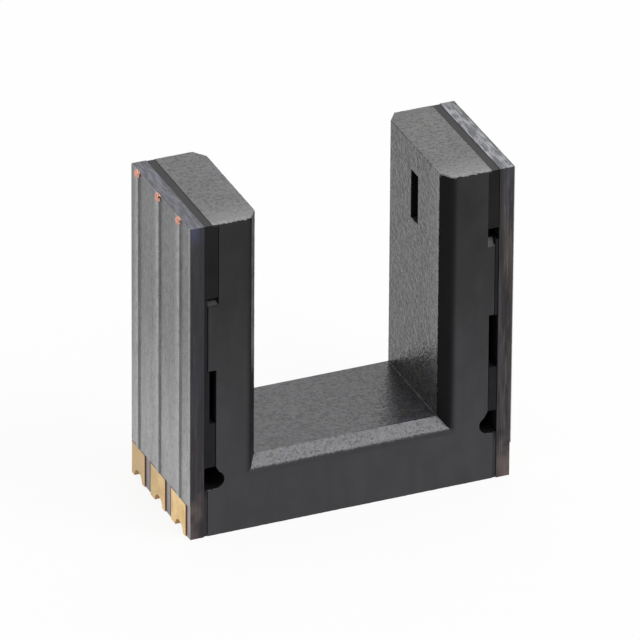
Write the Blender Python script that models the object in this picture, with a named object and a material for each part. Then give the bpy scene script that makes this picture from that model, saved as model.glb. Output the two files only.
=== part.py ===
# Slotted optical switch, surface-mount type.
# A moulded U-shaped housing carries a thin circuit board on the outer side of each arm.
# The emitter sits on the board at -X and the detector on the board at +X.
# X runs across the slot, Y through it (front is -Y), Z up from the seating face.
# Distances called "out" are measured outward from the middle plane of the slot.

import math

import bmesh
import bpy
from mathutils import Vector

MM = 0.001

# Housing
SLOT_WIDTH = 5.00 * MM
ARM_THICKNESS = 1.40 * MM
HEIGHT = 8.85 * MM
DEPTH = 3.80 * MM
SLOT_FLOOR = 1.93 * MM
CHAMFER_WIDTH = 0.25 * MM
CHAMFER_DROP = 0.30 * MM
CHAMFER_DEPTH = 0.35 * MM
CHAMFER_ROUND = 0.20 * MM

# Aperture and the pocket behind it
AXIS_BELOW_TOP = 1.42 * MM
APERTURE_WIDTH = 0.45 * MM
APERTURE_HEIGHT = 1.36 * MM
APERTURE_WALL = 0.45 * MM
APERTURE_DRAFT = 0.06 * MM
POCKET_WIDTH = 2.30 * MM
POCKET_HEIGHT = 2.10 * MM
POCKET_CORNER = 0.25 * MM

# Rebates and channel in the outer side of each arm
UPPER_REBATE_DEPTH = 0.29 * MM
EMITTER_LEDGE_DROP = 2.09 * MM
DETECTOR_LEDGE_DROP = 1.99 * MM
LEDGE_CHAMFER = 0.20 * MM
TOP_LIP_THICKNESS = 0.06 * MM
TOP_GAP_DEPTH = 0.12 * MM
LOWER_REBATE_DEPTH = 0.22 * MM
LOWER_REBATE_BOTTOM = 1.96 * MM
LOWER_REBATE_TOP = 4.71 * MM
CHANNEL_DEPTH = 0.45 * MM
CHANNEL_BOTTOM = 1.33 * MM
CHANNEL_RADIUS = 0.24 * MM
DETECTOR_RECESS_SHIFT = 0.08 * MM

# Circuit boards
BOND_LINE = 0.10 * MM
LAMINATE_THICKNESS = 0.37 * MM
OUTER_COPPER = 0.035 * MM
INNER_COPPER = 0.035 * MM
MASK_THICKNESS = 0.03 * MM

# Terminals: pad, plated half hole and plating trace
TERMINAL_INSET = 0.55 * MM
TERMINAL_OFFSET = 0.11 * MM
PAD_WIDTH = 0.95 * MM
PAD_HEIGHT = 0.93 * MM
PAD_SHIFT = 0.05 * MM
PAD_EDGE_MARGIN = 0.02 * MM
TRACE_WIDTH = 0.18 * MM
DETECTOR_TRACE_STOP = 0.60 * MM
HALF_HOLE_RADIUS = 0.29 * MM
PLATING = 0.035 * MM
INNER_LAND_WIDTH = 0.80 * MM
INNER_LAND_HEIGHT = 0.48 * MM
INNER_TRACK_WIDTH = 0.20 * MM
BOND_LAND_WIDTH = 0.26 * MM
BOND_LAND_HEIGHT = 0.46 * MM
DIE_LAND_MARGIN = 0.06 * MM

# Chips and bond wires
EMITTER_CHIP = 0.34 * MM
EMITTER_CHIP_THICKNESS = 0.20 * MM
DETECTOR_CHIP = 0.90 * MM
DETECTOR_CHIP_THICKNESS = 0.24 * MM
WIRE_DIAMETER = 0.03 * MM
WIRE_LOOP = 0.12 * MM
WIRE_INSET = 0.09 * MM
WIRE_STAGGER = 0.12 * MM

# Encapsulation and bond
EMITTER_RESIN_RISE = 0.02 * MM
DETECTOR_RESIN_RISE = 0.34 * MM
RESIN_TOP_DROP = 0.01 * MM
RESIN_BLOCK_DEPTH = 0.62 * MM
LENS_RADIUS = 0.72 * MM
LENS_HEIGHT = 0.26 * MM
RESIN_SETBACK = 0.015 * MM
BOND_THICK_TOP = 3.21 * MM
BOND_THIN_EXTRA = 0.05 * MM
BOND_SETBACK = 0.02 * MM
BOND_PLUG_SETBACK = 1.30 * MM
DETECTOR_STRIP_SETBACK = 0.90 * MM

# Small clearances
SEAT_GAP = 0.01 * MM
CUT_MARGIN = 0.30 * MM
ARC_STEPS = 8
ROUND_STEPS = 4
HOLE_STEPS = 12
LENS_STEPS = 24
WIRE_STEPS = 10
WIRE_SIDES = 6

# The optics keep to the top
OPTICAL_AXIS = HEIGHT - AXIS_BELOW_TOP

# Terminals that follow the depth, with each bonding land midway between die land and nearer track
TERMINAL_PITCH = DEPTH / 2 - TERMINAL_INSET
DIE_LAND_EDGE = DETECTOR_CHIP / 2 + DIE_LAND_MARGIN
TRACK_EDGE = TERMINAL_PITCH - TERMINAL_OFFSET - INNER_TRACK_WIDTH / 2
BOND_LAND_DISTANCE = (DIE_LAND_EDGE + TRACK_EDGE) / 2

# Lines that several pieces share, measured outward from the middle of the slot
ARM_OUTER = SLOT_WIDTH / 2 + ARM_THICKNESS
BOARD_INNER = ARM_OUTER + BOND_LINE
BOARD_OUTER = BOARD_INNER + LAMINATE_THICKNESS
PAD_FACE = BOARD_OUTER + OUTER_COPPER
COPPER_INNER = BOARD_INNER - INNER_COPPER
TERMINALS = {
    "front": TERMINAL_OFFSET - TERMINAL_PITCH,
    "middle": TERMINAL_OFFSET,
    "back": TERMINAL_OFFSET + TERMINAL_PITCH,
}

# What differs between the two arms
ARMS = {
    "emitter": {
        "side": -1,
        "recess_shift": 0.0,
        "ledge": HEIGHT - EMITTER_LEDGE_DROP,
        "resin_rise": EMITTER_RESIN_RISE,
        "strip_setback": BOND_SETBACK,
        "trace_top": HEIGHT,
        "chip": EMITTER_CHIP,
        "thickness": EMITTER_CHIP_THICKNESS,
        "wires": {"front": 0.0},
    },
    "detector": {
        "side": 1,
        "recess_shift": DETECTOR_RECESS_SHIFT,
        "ledge": HEIGHT - DETECTOR_LEDGE_DROP,
        "resin_rise": DETECTOR_RESIN_RISE,
        "strip_setback": DETECTOR_STRIP_SETBACK,
        "trace_top": HEIGHT - DETECTOR_TRACE_STOP,
        "chip": DETECTOR_CHIP,
        "thickness": DETECTOR_CHIP_THICKNESS,
        "wires": {"front": WIRE_STAGGER, "back": -WIRE_STAGGER},
    },
}


def material(name, colour, roughness, metallic=0.0):
    made = bpy.data.materials.new(name)
    made.use_nodes = True
    shader = made.node_tree.nodes["Principled BSDF"]
    shader.inputs["Base Color"].default_value = (*colour, 1.0)
    shader.inputs["Roughness"].default_value = roughness
    shader.inputs["Metallic"].default_value = metallic
    made.diffuse_color = (*colour, 1.0)
    return made


def new_object(name, mesh_data, made_of, parent, smooth=False):
    """Turn a bmesh into a named object whose origin is the middle of its own box."""
    bmesh.ops.recalc_face_normals(mesh_data, faces=mesh_data.faces)
    corners = [vertex.co.copy() for vertex in mesh_data.verts]
    low = Vector([min(corner[axis] for corner in corners) for axis in range(3)])
    high = Vector([max(corner[axis] for corner in corners) for axis in range(3)])
    middle = (low + high) / 2
    bmesh.ops.translate(mesh_data, verts=mesh_data.verts, vec=-middle)
    mesh = bpy.data.meshes.new(name)
    mesh_data.to_mesh(mesh)
    mesh_data.free()
    if made_of is not None:
        mesh.materials.append(made_of)
    if smooth:
        mesh.shade_smooth()
        mesh.set_sharp_from_angle(angle=math.radians(30))
    made = bpy.data.objects.new(name, mesh)
    made.location = middle
    made.parent = parent
    bpy.context.scene.collection.objects.link(made)
    return made


def boolean(target, other, operation):
    """Add or subtract another object, which is then only a guide."""
    step = target.modifiers.new(f"{operation.lower()}_{other.name}", "BOOLEAN")
    step.object = other
    step.operation = operation
    step.solver = "EXACT"
    other.hide_render = True
    other.display_type = "WIRE"


def along_x(side):
    """Outline in (y, z), extruded outward."""
    return lambda first, second, out: (side * out, first, second)


def along_y(side):
    """Outline in (out, z), extruded from front to back."""
    return lambda first, second, run: (side * first, run, second)


def along_z(side):
    """Outline in (out, y), extruded upward."""
    return lambda first, second, run: (side * first, second, run)


def loft(sections):
    """Skin a closed solid over loops of points that all have the same count."""
    mesh_data = bmesh.new()
    loops = [[mesh_data.verts.new(point) for point in section] for section in sections]
    count = len(loops[0])
    for lower, upper in zip(loops, loops[1:]):
        for index in range(count):
            following = (index + 1) % count
            mesh_data.faces.new((lower[index], lower[following], upper[following], upper[index]))
    mesh_data.faces.new(loops[0])
    mesh_data.faces.new(loops[-1])
    return mesh_data


def prism(outline, place, start, end):
    return loft([[place(*point, run) for point in outline] for run in (start, end)])


def rectangle(low_first, high_first, low_second, high_second):
    return [
        (low_first, low_second),
        (high_first, low_second),
        (high_first, high_second),
        (low_first, high_second),
    ]


def arc(centre, radius, start, end, steps):
    """Points on an arc, with angles in degrees from the first axis."""
    points = []
    for step in range(steps + 1):
        angle = math.radians(start + (end - start) * step / steps)
        points.append((centre[0] + radius * math.cos(angle), centre[1] + radius * math.sin(angle)))
    return points


def rounded_rectangle(width, height, centre_height, radius):
    right = width / 2 - radius
    top = height / 2 - radius
    points = []
    corners = ((right, -top), (right, top), (-right, top), (-right, -top))
    for index, (first, second) in enumerate(corners):
        start = 90 * (index - 1)
        points += arc((first, centre_height + second), radius, start, start + 90, ARC_STEPS // 2)
    return points


def turned(profile, side, centre_height, steps):
    """Revolve (out, radius) points about the optical axis; both ends lie on the axis."""
    mesh_data = bmesh.new()
    rings = []
    for out, radius in profile[1:-1]:
        ring = []
        for step in range(steps):
            angle = 2 * math.pi * step / steps
            point = (side * out, radius * math.cos(angle), centre_height + radius * math.sin(angle))
            ring.append(mesh_data.verts.new(point))
        rings.append(ring)
    for lower, upper in zip(rings, rings[1:]):
        for step in range(steps):
            following = (step + 1) % steps
            mesh_data.faces.new((lower[step], lower[following], upper[following], upper[step]))
    for (out, _), ring in ((profile[0], rings[0]), (profile[-1], rings[-1])):
        tip = mesh_data.verts.new((side * out, 0, centre_height))
        for step in range(steps):
            mesh_data.faces.new((ring[step], ring[(step + 1) % steps], tip))
    return mesh_data


def guide(name, mesh_data, parent):
    return new_object(name, mesh_data, None, parent)


def slot_section(run, share):
    """One cross-section of the U, with the slot opened by a share of the chamfer's full size."""
    half = SLOT_WIDTH / 2 + share * CHAMFER_WIDTH
    floor = SLOT_FLOOR - share * CHAMFER_DROP
    outline = [
        (-ARM_OUTER, 0),
        (ARM_OUTER, 0),
        (ARM_OUTER, HEIGHT),
        (half, HEIGHT),
        (half, floor),
        (-half, floor),
        (-half, HEIGHT),
        (-ARM_OUTER, HEIGHT),
    ]
    return [(first, run, second) for first, second in outline]


def front_chamfer_profile():
    """Points (depth behind the face, share) from the chamfer's rounded border to the slot's walls."""
    flare = (CHAMFER_WIDTH + CHAMFER_DROP) / 2
    slope = math.atan2(CHAMFER_DEPTH, flare)
    tangent = CHAMFER_ROUND * math.tan(slope / 2)
    profile = []
    for step in range(ROUND_STEPS + 1):
        angle = slope * step / ROUND_STEPS
        depth = CHAMFER_ROUND * (1 - math.cos(angle))
        reach = flare + tangent - CHAMFER_ROUND * math.sin(angle)
        profile.append((depth, reach / flare))
    profile.append((CHAMFER_DEPTH, 0))
    return profile


def upper_rebate_line(arm):
    return ARM_OUTER - UPPER_REBATE_DEPTH + arm["recess_shift"]


def lower_rebate_line(arm):
    return ARM_OUTER - LOWER_REBATE_DEPTH + arm["recess_shift"]


def channel_points(arm, clearance):
    """The channel's round inner side and slanted roof, from its floor up to the rebate."""
    middle = ARM_OUTER - CHANNEL_DEPTH + arm["recess_shift"] + CHANNEL_RADIUS
    centre = (middle, CHANNEL_BOTTOM + CHANNEL_RADIUS)
    points = arc(centre, CHANNEL_RADIUS - clearance, 270, 115, ARC_STEPS)
    points.append((lower_rebate_line(arm) + clearance, LOWER_REBATE_BOTTOM + clearance))
    return points


def channel_outline(arm):
    """Channel low in the arm with the lower rebate above it."""
    points = [(ARM_OUTER + CUT_MARGIN, CHANNEL_BOTTOM)]
    points += channel_points(arm, 0)
    points.append((lower_rebate_line(arm), LOWER_REBATE_TOP))
    points.append((ARM_OUTER + CUT_MARGIN, LOWER_REBATE_TOP))
    return points


def upper_rebate_outline(arm):
    """Rebate open to the front, the back and, past a thin lip, the top."""
    return [
        (ARM_OUTER + CUT_MARGIN, arm["ledge"]),
        (upper_rebate_line(arm), arm["ledge"]),
        (upper_rebate_line(arm), HEIGHT - TOP_LIP_THICKNESS),
        (ARM_OUTER - TOP_GAP_DEPTH, HEIGHT - TOP_LIP_THICKNESS),
        (ARM_OUTER - TOP_GAP_DEPTH, HEIGHT + CUT_MARGIN),
        (ARM_OUTER + CUT_MARGIN, HEIGHT + CUT_MARGIN),
    ]


def ledge_chamfer_outline(arm, end):
    """Wedge in (y, z) off the ledge's edge at the front (end -1) or the back (end 1)."""
    level = arm["ledge"]
    face = DEPTH / 2
    rise = CUT_MARGIN - LEDGE_CHAMFER
    outline = [(face - LEDGE_CHAMFER, level), (face + CUT_MARGIN, level - LEDGE_CHAMFER - CUT_MARGIN)]
    outline += [(face + CUT_MARGIN, level + rise), (face - LEDGE_CHAMFER, level + rise)]
    return [(end * run, height) for run, height in outline]


def aperture_section(side, out, widening):
    half_width = APERTURE_WIDTH / 2 + widening
    half_height = APERTURE_HEIGHT / 2 + widening
    outline = rectangle(
        -half_width, half_width, OPTICAL_AXIS - half_height, OPTICAL_AXIS + half_height
    )
    return [along_x(side)(*point, out) for point in outline]


def pocket_guide(name, side, parent):
    outline = rounded_rectangle(POCKET_WIDTH, POCKET_HEIGHT, OPTICAL_AXIS, POCKET_CORNER)
    start = SLOT_WIDTH / 2 + APERTURE_WALL
    return guide(name, prism(outline, along_x(side), start, BOARD_INNER + CUT_MARGIN), parent)


def make_housing(made_of, parent):
    back = DEPTH / 2
    sections = [slot_section(depth - back, share) for depth, share in front_chamfer_profile()]
    sections += [slot_section(back - CHAMFER_DEPTH, 0), slot_section(back, 1)]
    housing = new_object("housing", loft(sections), made_of, parent, smooth=True)
    for prefix, arm in ARMS.items():
        side = arm["side"]
        far = back + CUT_MARGIN
        cuts = {"channel": channel_outline(arm), "rebate": upper_rebate_outline(arm)}
        for label, outline in cuts.items():
            cut = guide(f"{prefix}_{label}_cut", prism(outline, along_y(side), -far, far), parent)
            boolean(housing, cut, "DIFFERENCE")
        for label, end in (("front", -1), ("back", 1)):
            wedge = ledge_chamfer_outline(arm, end)
            solid = prism(wedge, along_x(side), upper_rebate_line(arm), ARM_OUTER + CUT_MARGIN)
            boolean(housing, guide(f"{prefix}_{label}_ledge_cut", solid, parent), "DIFFERENCE")
        boolean(housing, pocket_guide(f"{prefix}_pocket_cut", side, parent), "DIFFERENCE")
        inner = SLOT_WIDTH / 2
        slope = APERTURE_DRAFT / APERTURE_WALL
        stations = (inner - CUT_MARGIN, inner, inner + APERTURE_WALL + CUT_MARGIN)
        widenings = (0, 0, (APERTURE_WALL + CUT_MARGIN) * slope)
        slit = [aperture_section(side, out, wide) for out, wide in zip(stations, widenings)]
        boolean(housing, guide(f"{prefix}_aperture_cut", loft(slit), parent), "DIFFERENCE")
    return housing


def make_laminate(name, side, made_of, parent):
    """Board outline with a half hole in its lower edge at each terminal."""
    outline = [(-DEPTH / 2, 0)]
    for centre in sorted(TERMINALS.values()):
        outline += arc((centre, 0), HALF_HOLE_RADIUS, 180, 0, HOLE_STEPS)
    outline += [(DEPTH / 2, 0), (DEPTH / 2, HEIGHT), (-DEPTH / 2, HEIGHT)]
    mesh_data = prism(outline, along_x(side), BOARD_INNER, BOARD_OUTER)
    return new_object(name, mesh_data, made_of, parent)


def mask_section(side, height, stand):
    """Mask outline at one height, its ridges standing at a share of their full height."""
    inner = BOARD_OUTER + SEAT_GAP
    flat = BOARD_OUTER + MASK_THICKNESS
    ridge = flat + stand * OUTER_COPPER
    half_top = TRACE_WIDTH / 2 + MASK_THICKNESS / 2
    half_foot = half_top + MASK_THICKNESS
    outline = [(flat, -DEPTH / 2)]
    for centre in sorted(TERMINALS.values()):
        outline += [
            (flat, centre - half_foot),
            (ridge, centre - half_top),
            (ridge, centre + half_top),
            (flat, centre + half_foot),
        ]
    outline += [(flat, DEPTH / 2), (inner, DEPTH / 2), (inner, -DEPTH / 2)]
    return [along_z(side)(*point, height) for point in outline]


def make_mask(name, arm, made_of, parent):
    """Solder mask over the outer face, standing up in a ridge over each trace."""
    side = arm["side"]
    levels = [(PAD_HEIGHT + SEAT_GAP, 1)]
    if arm["trace_top"] < HEIGHT:
        ridge_end = arm["trace_top"] + SEAT_GAP + MASK_THICKNESS
        levels += [(ridge_end, 1), (ridge_end + OUTER_COPPER, 0), (HEIGHT, 0)]
    else:
        levels.append((HEIGHT, 1))
    sections = [mask_section(side, height, stand) for height, stand in levels]
    mask = new_object(name, loft(sections), made_of, parent)
    half_groove = TRACE_WIDTH / 2 + SEAT_GAP
    groove_top = arm["trace_top"] + SEAT_GAP
    for place, centre in TERMINALS.items():
        groove = rectangle(centre - half_groove, centre + half_groove, PAD_HEIGHT, groove_top)
        solid = prism(groove, along_x(side), BOARD_OUTER, PAD_FACE + SEAT_GAP)
        boolean(mask, guide(f"{name}_{place}_groove", solid, parent), "DIFFERENCE")
    return mask


def terminal_outline(hole, first_edge, last_edge, height, upper):
    """Pad round the half hole, with the conductor that leaves it at the top."""
    radius = HALF_HOLE_RADIUS - SEAT_GAP - PLATING
    outline = [(first_edge, 0)]
    outline += arc((hole, 0), radius, 180, 0, HOLE_STEPS)
    outline += [(last_edge, 0), (last_edge, height)]
    outline += upper
    outline.append((first_edge, height))
    return outline


def trace_points(centre, width, top, bottom):
    half = width / 2
    return [(centre + half, bottom), (centre + half, top), (centre - half, top), (centre - half, bottom)]


def hook_points(centre, bottom):
    """Track that rises beside the chip and turns in to its bonding land."""
    turn = -1 if centre > 0 else 1
    half = INNER_TRACK_WIDTH / 2
    land = -turn * BOND_LAND_DISTANCE
    near = land - turn * BOND_LAND_WIDTH / 2
    far = land + turn * BOND_LAND_WIDTH / 2
    low = OPTICAL_AXIS - BOND_LAND_HEIGHT / 2
    high = OPTICAL_AXIS + BOND_LAND_HEIGHT / 2
    points = [
        (centre + turn * half, bottom),
        (centre + turn * half, OPTICAL_AXIS - half),
        (near, OPTICAL_AXIS - half),
        (near, low),
        (far, low),
        (far, high),
        (near, high),
        (near, OPTICAL_AXIS + half),
        (centre - turn * half, OPTICAL_AXIS + half),
        (centre - turn * half, bottom),
    ]
    return points if turn > 0 else points[::-1]


def die_land_points(centre, bottom, land_size):
    half = INNER_TRACK_WIDTH / 2
    low = OPTICAL_AXIS - land_size / 2
    high = OPTICAL_AXIS + land_size / 2
    return [
        (centre + half, bottom),
        (centre + half, low),
        (land_size / 2, low),
        (land_size / 2, high),
        (-land_size / 2, high),
        (-land_size / 2, low),
        (centre - half, low),
        (centre - half, bottom),
    ]


def inner_points(place, centre, arm):
    """What the inner copper of one terminal does above its land."""
    if place == "middle":
        return die_land_points(centre, INNER_LAND_HEIGHT, arm["chip"] + 2 * DIE_LAND_MARGIN)
    if place in arm["wires"]:
        return hook_points(centre, INNER_LAND_HEIGHT)
    return []


def make_terminal(name, arm, centre, upper, made_of, parent):
    """One conductor: outer pad and trace, plated half hole, and inner land and track."""
    side = arm["side"]
    trace = trace_points(centre, TRACE_WIDTH, arm["trace_top"], PAD_HEIGHT)
    first_edge = centre + PAD_SHIFT - PAD_WIDTH / 2
    last_edge = min(centre + PAD_SHIFT + PAD_WIDTH / 2, DEPTH / 2 - PAD_EDGE_MARGIN)
    outer = terminal_outline(centre, first_edge, last_edge, PAD_HEIGHT, trace)
    skin = BOARD_OUTER + SEAT_GAP
    terminal = new_object(name, prism(outer, along_x(side), skin, PAD_FACE), made_of, parent)
    reach = INNER_LAND_WIDTH / 2
    inner = terminal_outline(centre, centre - reach, centre + reach, INNER_LAND_HEIGHT, upper)
    inner_skin = BOARD_INNER - SEAT_GAP
    inner_solid = prism(inner, along_x(side), COPPER_INNER, inner_skin)
    boolean(terminal, guide(f"{name}_inner_copper", inner_solid, parent), "UNION")
    plated = HALF_HOLE_RADIUS - SEAT_GAP
    wall = arc((centre, 0), plated, 0, 180, HOLE_STEPS)
    wall += arc((centre, 0), plated - PLATING, 180, 0, HOLE_STEPS)
    barrel = prism(wall, along_x(side), COPPER_INNER, PAD_FACE)
    boolean(terminal, guide(f"{name}_barrel", barrel, parent), "UNION")
    return terminal


def chip_face(thickness):
    return COPPER_INNER - SEAT_GAP - thickness


def make_chip(name, arm, made_of, parent):
    half = arm["chip"] / 2
    outline = rectangle(-half, half, OPTICAL_AXIS - half, OPTICAL_AXIS + half)
    face = chip_face(arm["thickness"])
    mesh_data = prism(outline, along_x(arm["side"]), face, COPPER_INNER - SEAT_GAP)
    return new_object(name, mesh_data, made_of, parent)


def turn_of(place):
    """Direction along Y in which a terminal's wire leaves the chip."""
    return 1 if TERMINALS[place] > 0 else -1


def wire_route(place, arm):
    """Points (out, y) from the chip's upper face over a loop to the bonding land."""
    turn = turn_of(place)
    radius = WIRE_DIAMETER / 2
    start = chip_face(arm["thickness"]) - SEAT_GAP - radius
    end = COPPER_INNER - SEAT_GAP - radius
    first = turn * max(arm["chip"] / 2 - WIRE_INSET, 0)
    last = turn * BOND_LAND_DISTANCE
    points = []
    for step in range(WIRE_STEPS + 1):
        share = step / WIRE_STEPS
        level = start + (end - start) * share * share
        rise = WIRE_LOOP * math.sin(math.pi * share) ** 0.8 if 0 < share < 1 else 0
        points.append((level - rise, first + (last - first) * share))
    return points


def make_wire(name, arm, place, made_of, parent):
    route = wire_route(place, arm)
    radius = WIRE_DIAMETER / 2
    middle = OPTICAL_AXIS + arm["wires"][place]
    sections = []
    for index, (out, run) in enumerate(route):
        before = Vector(route[max(index - 1, 0)])
        after = Vector(route[min(index + 1, len(route) - 1)])
        heading = (after - before).normalized()
        normal = Vector((-heading.y, heading.x))
        if index in (0, len(route) - 1):
            normal = Vector((-turn_of(place), 0))
        section = []
        for corner in range(WIRE_SIDES):
            angle = 2 * math.pi * corner / WIRE_SIDES
            shift = normal * radius * math.cos(angle)
            height = middle + radius * math.sin(angle)
            section.append((arm["side"] * (out + shift.x), run + shift.y, height))
        sections.append(section)
    return new_object(name, loft(sections), made_of, parent, smooth=True)


def wire_slot_outline(place, arm):
    """Side view of the space that one wire takes, open toward the board."""
    turn = turn_of(place)
    clear = WIRE_DIAMETER / 2 + 2 * SEAT_GAP
    route = wire_route(place, arm)
    outline = [(out - clear, run) for out, run in route]
    outline[0] = (outline[0][0], outline[0][1] - turn * clear)
    outline[-1] = (outline[-1][0], outline[-1][1] + turn * clear)
    outline.append((BOARD_INNER + CUT_MARGIN, outline[-1][1]))
    outline.append((BOARD_INNER + CUT_MARGIN, outline[0][1]))
    return outline


def copper_relief(outline, grow):
    """The outline of a track's or a land's own box, grown by a clearance."""
    firsts = [first for first, _ in outline]
    seconds = [second for _, second in outline]
    return rectangle(min(firsts) - grow, max(firsts) + grow, min(seconds) - grow, max(seconds) + grow)


def relief_boxes(place, centre, arm):
    """Rectangles that together cover the inner copper of one terminal."""
    half = INNER_TRACK_WIDTH / 2
    low = OPTICAL_AXIS - BOND_LAND_HEIGHT / 2
    high = OPTICAL_AXIS + BOND_LAND_HEIGHT / 2
    reach = INNER_LAND_WIDTH / 2
    boxes = [rectangle(centre - reach, centre + reach, -CUT_MARGIN, INNER_LAND_HEIGHT)]
    if place == "middle":
        land = arm["chip"] / 2 + DIE_LAND_MARGIN
        boxes.append(rectangle(centre - half, centre + half, 0, OPTICAL_AXIS))
        boxes.append(rectangle(-land, land, OPTICAL_AXIS - land, OPTICAL_AXIS + land))
    elif place in arm["wires"]:
        land = turn_of(place) * BOND_LAND_DISTANCE
        left = min(centre, land)
        right = max(centre, land)
        boxes.append(rectangle(centre - half, centre + half, 0, OPTICAL_AXIS + half))
        boxes.append(rectangle(left, right, OPTICAL_AXIS - half, OPTICAL_AXIS + half))
        boxes.append(rectangle(land - BOND_LAND_WIDTH / 2, land + BOND_LAND_WIDTH / 2, low, high))
    return [copper_relief(box, SEAT_GAP) for box in boxes]


def relief_guides(name, arm, parent):
    guides = []
    for place, centre in TERMINALS.items():
        for index, box in enumerate(relief_boxes(place, centre, arm)):
            start = COPPER_INNER - SEAT_GAP
            solid = prism(box, along_x(arm["side"]), start, BOARD_INNER + CUT_MARGIN)
            guides.append(guide(f"{name}_{place}_relief_{index}", solid, parent))
    return guides


def resin_band_outline(arm):
    """Resin that fills the upper rebate and shows as a dark band on the top."""
    board_side = BOARD_INNER - SEAT_GAP
    bottom = arm["ledge"] + arm["resin_rise"]
    deep = upper_rebate_line(arm) + SEAT_GAP
    shallow = ARM_OUTER - TOP_GAP_DEPTH + SEAT_GAP
    step = HEIGHT - TOP_LIP_THICKNESS - SEAT_GAP
    top = HEIGHT - RESIN_TOP_DROP
    return [
        (board_side, bottom),
        (deep, bottom),
        (deep, step),
        (shallow, step),
        (shallow, top),
        (board_side, top),
    ]


def lens_profile(block_face):
    """Points (out, radius) of the low lens that stands on the block's face."""
    sphere = (LENS_RADIUS ** 2 + LENS_HEIGHT ** 2) / (2 * LENS_HEIGHT)
    centre = block_face - LENS_HEIGHT + sphere
    spread = math.asin(LENS_RADIUS / sphere)
    root = block_face + LENS_HEIGHT / 2
    profile = [(root, 0), (root, LENS_RADIUS)]
    for step in range(ARC_STEPS):
        angle = spread * (1 - step / ARC_STEPS)
        profile.append((centre - sphere * math.cos(angle), sphere * math.sin(angle)))
    profile.append((block_face - LENS_HEIGHT, 0))
    return profile


def cut_chip_and_wires(resin, name, arm, parent):
    side = arm["side"]
    half = arm["chip"] / 2 + SEAT_GAP
    seat = rectangle(-half, half, OPTICAL_AXIS - half, OPTICAL_AXIS + half)
    start = chip_face(arm["thickness"]) - SEAT_GAP
    chip_space = prism(seat, along_x(side), start, BOARD_INNER + CUT_MARGIN)
    boolean(resin, guide(f"{name}_chip_space", chip_space, parent), "DIFFERENCE")
    clear = WIRE_DIAMETER / 2 + SEAT_GAP
    for place, level in arm["wires"].items():
        outline = wire_slot_outline(place, arm)
        low = OPTICAL_AXIS + level - clear
        high = OPTICAL_AXIS + level + clear
        slot = prism(outline, along_z(side), low, high)
        boolean(resin, guide(f"{name}_{place}_wire_space", slot, parent), "DIFFERENCE")


def make_resin(name, arm, reliefs, made_of, parent):
    side = arm["side"]
    run = DEPTH / 2 - RESIN_SETBACK
    band = prism(resin_band_outline(arm), along_y(side), -run, run)
    resin = new_object(name, band, made_of, parent)
    block_face = BOARD_INNER - SEAT_GAP - RESIN_BLOCK_DEPTH
    width = POCKET_WIDTH - 2 * SEAT_GAP
    height = POCKET_HEIGHT - 2 * SEAT_GAP
    outline = rounded_rectangle(width, height, OPTICAL_AXIS, POCKET_CORNER - SEAT_GAP)
    block = prism(outline, along_x(side), block_face, BOARD_INNER - SEAT_GAP)
    boolean(resin, guide(f"{name}_block", block, parent), "UNION")
    lens = turned(lens_profile(block_face), side, OPTICAL_AXIS, LENS_STEPS)
    boolean(resin, guide(f"{name}_lens", lens, parent), "UNION")
    for relief in reliefs:
        boolean(resin, relief, "DIFFERENCE")
    cut_chip_and_wires(resin, name, arm, parent)
    return resin


def bond_outline(arm):
    """Adhesive between arm and board, thicker where it fills the lower rebate."""
    board_side = BOARD_INNER - SEAT_GAP
    thin = ARM_OUTER + SEAT_GAP
    squeezed = ARM_OUTER - BOND_THIN_EXTRA
    thick = lower_rebate_line(arm) + SEAT_GAP
    return [
        (board_side, SEAT_GAP),
        (thin, SEAT_GAP),
        (thin, LOWER_REBATE_BOTTOM + SEAT_GAP),
        (thick, LOWER_REBATE_BOTTOM + SEAT_GAP),
        (thick, BOND_THICK_TOP),
        (squeezed, BOND_THICK_TOP),
        (squeezed, LOWER_REBATE_TOP - SEAT_GAP),
        (thin, LOWER_REBATE_TOP - SEAT_GAP),
        (thin, arm["ledge"]),
        (board_side, arm["ledge"]),
    ]


def bond_plug_outline(arm):
    """Adhesive that fills the middle of the channel and runs up into the bond."""
    face = (ARM_OUTER + BOARD_INNER) / 2
    corner = lower_rebate_line(arm) + 2 * SEAT_GAP
    points = [(face, CHANNEL_BOTTOM + SEAT_GAP)]
    points += channel_points(arm, SEAT_GAP)
    points += [(corner, LOWER_REBATE_BOTTOM + CUT_MARGIN), (face, LOWER_REBATE_BOTTOM + CUT_MARGIN)]
    return points


def make_bond(name, arm, reliefs, made_of, parent):
    side = arm["side"]
    run = DEPTH / 2 - BOND_SETBACK
    bond = new_object(name, prism(bond_outline(arm), along_y(side), -run, run), made_of, parent)
    reach = DEPTH / 2 - BOND_PLUG_SETBACK
    plug = prism(bond_plug_outline(arm), along_y(side), -reach, reach)
    boolean(bond, guide(f"{name}_plug", plug, parent), "UNION")
    deep = ARM_OUTER - CHANNEL_DEPTH
    shallow = BOARD_INNER + CUT_MARGIN
    openings = {"mouth": (CHANNEL_BOTTOM, LOWER_REBATE_BOTTOM, BOND_PLUG_SETBACK)}
    if arm["strip_setback"] > BOND_SETBACK:
        openings["strip"] = (BOND_THICK_TOP, LOWER_REBATE_TOP - SEAT_GAP, arm["strip_setback"])
    for label, (low, high, setback) in openings.items():
        outline = rectangle(deep, shallow, low, high)
        for place, end in (("front", -1), ("back", 1)):
            near = end * (DEPTH / 2 - setback)
            solid = prism(outline, along_y(side), near, end * (DEPTH / 2 + CUT_MARGIN))
            boolean(bond, guide(f"{name}_{label}_{place}_cut", solid, parent), "DIFFERENCE")
    boolean(bond, pocket_guide(f"{name}_window", side, parent), "DIFFERENCE")
    for relief in reliefs:
        boolean(bond, relief, "DIFFERENCE")
    return bond


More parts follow.
